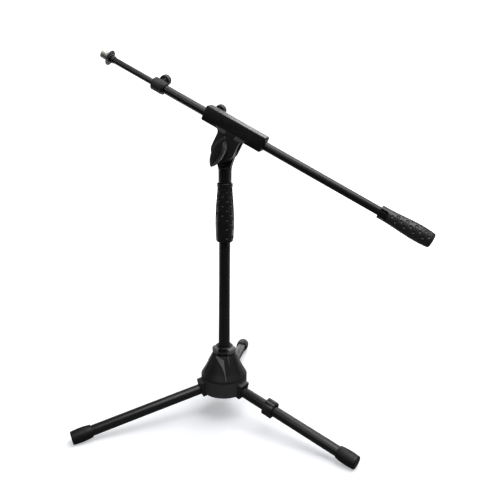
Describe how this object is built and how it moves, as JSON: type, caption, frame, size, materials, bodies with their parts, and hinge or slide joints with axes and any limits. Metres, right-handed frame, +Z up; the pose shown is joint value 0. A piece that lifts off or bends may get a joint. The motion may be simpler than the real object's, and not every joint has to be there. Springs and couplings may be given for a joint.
{
  "type": "boom microphone stand",
  "caption": "Low boom microphone stand: folding tripod base, clutch column, tilting clamp and telescopic boom with a threaded stud.",
  "frame": {"origin": "on the floor, under the centre of the stand's bounding box", "axes": "+Z up, -X towards the microphone end of the boom, +X towards its grip, +Y towards the back leg"},
  "size_m": [0.5988, 0.4838, 0.6802],
  "materials": {
    "black_steel": "blackened steel",
    "cast_zinc_black": "die-cast zinc, black powder coat",
    "foot_rubber": "matt rubber",
    "hard_plastic": "moulded, satin",
    "hub_plastic": "moulded, fine texture",
    "liner_plastic": "moulded",
    "nickel_plate": "nickel plated, threaded",
    "powder_coated_steel": "black powder coat, satin",
    "soft_grip": "soft-touch, dimpled",
    "zinc_plated_steel": "zinc plated"
  },
  "bodies": {
    "base": {"hub_casting": "hub_plastic", "hub_bushing": "hard_plastic", "column_outer_tube": "powder_coated_steel", "column_base_plug": "zinc_plated_steel", "base_washer": "zinc_plated_steel", "base_bolt": "zinc_plated_steel", "clutch_collet": "liner_plastic", "leg_pivot_bolt_left": "zinc_plated_steel", "leg_pivot_bolt_right": "zinc_plated_steel", "leg_pivot_bolt_back": "zinc_plated_steel", "leg_pivot_nut_left": "zinc_plated_steel", "leg_pivot_nut_right": "zinc_plated_steel", "leg_pivot_nut_back": "zinc_plated_steel"},
    "leg_left": {"leg_tube_left": "powder_coated_steel", "leg_knuckle_left": "hard_plastic", "leg_foot_left": "foot_rubber"},
    "leg_right": {"leg_tube_right": "powder_coated_steel", "leg_knuckle_right": "hard_plastic", "leg_foot_right": "foot_rubber"},
    "leg_back": {"leg_tube_back": "powder_coated_steel", "leg_knuckle_back": "hard_plastic", "leg_foot_back": "foot_rubber"},
    "leg_clip": {"leg_clip": "hard_plastic"},
    "height_clutch": {"clutch_sleeve": "hard_plastic", "clutch_grip": "soft_grip", "clutch_flange": "hard_plastic"},
    "inner_column": {"column_inner_tube": "zinc_plated_steel", "column_guide_bush": "liner_plastic"},
    "tilt_head": {"tilt_head": "cast_zinc_black", "head_set_screw": "black_steel"},
    "boom_clamp": {"clamp_block": "cast_zinc_black", "clamp_liner": "liner_plastic", "friction_disc_front": "foot_rubber", "friction_disc_rear": "foot_rubber", "tilt_bolt": "black_steel", "tilt_washer": "black_steel"},
    "tilt_handle": {"tilt_handle": "hard_plastic", "tilt_handle_nut": "zinc_plated_steel"},
    "clamp_knob": {"clamp_knob": "hard_plastic", "clamp_knob_screw": "zinc_plated_steel"},
    "boom_outer": {"boom_outer_tube": "powder_coated_steel", "boom_grip": "soft_grip", "extension_collar": "hard_plastic", "extension_liner": "liner_plastic"},
    "extension_knob": {"extension_knob": "hard_plastic", "extension_knob_screw": "zinc_plated_steel"},
    "boom_inner": {"boom_inner_tube": "powder_coated_steel", "boom_guide_plug": "liner_plastic", "boom_tip_ferrule": "black_steel", "mic_stud": "nickel_plate"},
    "lock_flange": {"lock_flange": "hard_plastic"}
  },
  "joints": [
    {"name": "leg_fold_left", "type": "hinge", "parent": "base", "child": "leg_left", "pos_m": [-0.08816, -0.06832, 0.065], "axis": [0.628, -0.7782, 0], "range_deg": [0, 78]},
    {"name": "leg_fold_right", "type": "hinge", "parent": "base", "child": "leg_right", "pos_m": [-0.03682, -0.06028, 0.065], "axis": [0.36, 0.933, 0], "range_deg": [0, 78]},
    {"name": "leg_fold_back", "type": "hinge", "parent": "base", "child": "leg_back", "pos_m": [-0.06945, -0.01984, 0.065], "axis": [-0.988, -0.1547, 0], "range_deg": [0, 78]},
    {"name": "leg_clip_slide", "type": "slide", "parent": "leg_right", "child": "leg_clip", "axis": [0.9139, -0.3526, -0.2011], "range_m": [-0.05, 0.135]},
    {"name": "clutch_turn", "type": "hinge", "parent": "base", "child": "height_clutch", "pos_m": [-0.06481, -0.04948, 0.4022], "axis": [0, 0, 1], "range_deg": [0, 180]},
    {"name": "height_slide", "type": "slide", "parent": "base", "child": "inner_column", "axis": [0, 0, 1], "range_m": [0, 0.26]},
    {"name": "head_swivel", "type": "hinge", "parent": "inner_column", "child": "tilt_head", "pos_m": [-0.06481, -0.04948, 0.4672], "axis": [0, 0, 1], "continuous": true},
    {"name": "boom_tilt", "type": "hinge", "parent": "tilt_head", "child": "boom_clamp", "pos_m": [-0.06481, -0.04948, 0.5174], "axis": [0, 1, 0], "range_deg": [-115, 62]},
    {"name": "tilt_handle_turn", "type": "hinge", "parent": "boom_clamp", "child": "tilt_handle", "pos_m": [-0.06481, -0.07948, 0.5174], "axis": [0, -1, 0], "range_deg": [0, 180]},
    {"name": "clamp_knob_turn", "type": "hinge", "parent": "boom_clamp", "child": "clamp_knob", "pos_m": [-0.08887, -0.04948, 0.57337], "axis": [0.0993, 0.9744, 0.2018], "continuous": true},
    {"name": "boom_slide", "type": "slide", "parent": "boom_clamp", "child": "boom_outer", "axis": [-0.8973, 0, 0.4415], "range_m": [-0.08, 0.2]},
    {"name": "extension_knob_turn", "type": "hinge", "parent": "boom_outer", "child": "extension_knob", "pos_m": [-0.19026, -0.04948, 0.62326], "axis": [0.0993, 0.9744, 0.2018], "continuous": true},
    {"name": "boom_extension", "type": "slide", "parent": "boom_outer", "child": "boom_inner", "axis": [-0.8973, 0, 0.4415], "range_m": [-0.075, 0.17]},
    {"name": "lock_flange_turn", "type": "hinge", "parent": "boom_inner", "child": "lock_flange", "pos_m": [-0.2777, -0.04948, 0.66629], "axis": [-0.8973, 0, 0.4415], "continuous": true}
  ]
}
